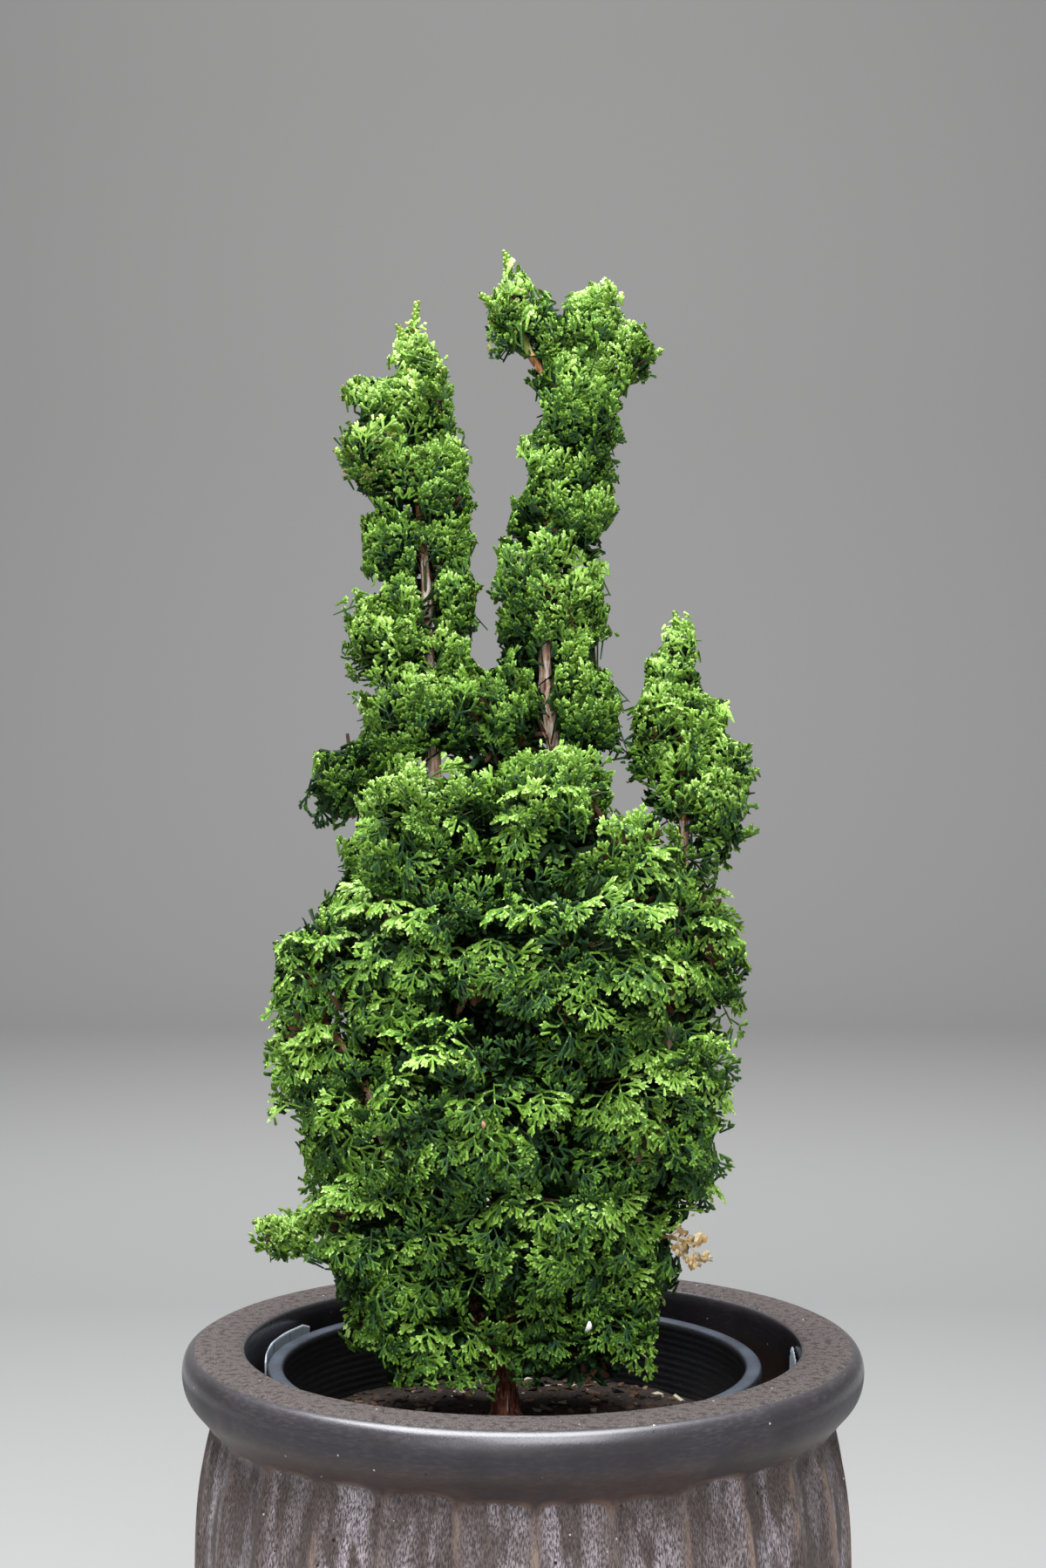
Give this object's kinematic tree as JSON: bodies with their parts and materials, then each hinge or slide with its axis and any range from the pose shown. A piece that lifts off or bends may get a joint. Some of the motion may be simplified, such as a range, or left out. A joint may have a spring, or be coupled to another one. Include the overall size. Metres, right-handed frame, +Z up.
{
  "type": "potted dwarf false cypress in a fluted planter",
  "caption": "Dwarf false cypress with slender upright leaders above a dense bushy body, in a plain nursery pot that stands inside a wide fluted glazed planter.",
  "frame": {"origin": "centre of the planter's flat underside, on the surface that it stands on", "axes": "+Z up, along the height of the planter and the plant; -Y is the side that the picture shows as the front"},
  "size_m": [0.3146, 0.3146, 0.753],
  "materials": {
    "glaze": "dark grey-brown metallic glaze, mottled in streaks",
    "pot_plastic": "black moulded plastic with a soft sheen",
    "soil": "coarse potting bark, damp",
    "clear_plastic": "clear plastic strip, a little dusty",
    "bark": "thin peeling bark, reddish brown at the foot and paler above",
    "foliage": "scale leaves in flat sprays, yellow-green at the tips and blue-green inside",
    "dead_foliage": "dry straw-coloured scale leaves"
  },
  "bodies": {
    "root": {"centre_branch": "bark", "centre_collar": "foliage", "centre_crown": "foliage", "centre_elbow": "foliage", "centre_hip": "foliage", "centre_lap": "foliage", "centre_leader": "bark", "centre_neck": "foliage", "centre_tip": "foliage", "centre_wing": "foliage", "chest_1": "foliage", "chest_2": "foliage", "chest_3": "foliage", "chest_4": "foliage", "chest_5": "foliage", "crest": "foliage", "crest_back": "foliage", "crest_left": "foliage", "crest_right": "foliage", "dead_sprig": "dead_foliage", "foot_1": "foliage", "foot_2": "foliage", "foot_3": "foliage", "foot_4": "foliage", "left_arm": "foliage", "left_cheek": "foliage", "left_collar": "foliage", "left_elbow": "foliage", "left_head": "foliage", "left_hip": "foliage", "left_leader": "bark", "left_neck": "foliage", "left_tip": "foliage", "nursery_pot": "pot_plastic", "planter": "glaze", "rear_low": "foliage", "rear_stem": "bark", "rear_top": "foliage", "right_leader": "bark", "right_neck": "foliage", "right_shoulder": "foliage", "right_tip": "foliage", "shoulder_side": "foliage", "shoulder_stem": "bark", "shoulder_top": "foliage", "skirt_1": "foliage", "skirt_2": "foliage", "skirt_3": "foliage", "skirt_4": "foliage", "skirt_5": "foliage", "slip_left": "clear_plastic", "slip_right": "clear_plastic", "soil": "soil", "spur": "foliage", "trunk": "bark", "waist_1": "foliage", "waist_2": "foliage", "waist_3": "foliage", "waist_4": "foliage", "waist_5": "foliage"}
  },
  "joints": []
}
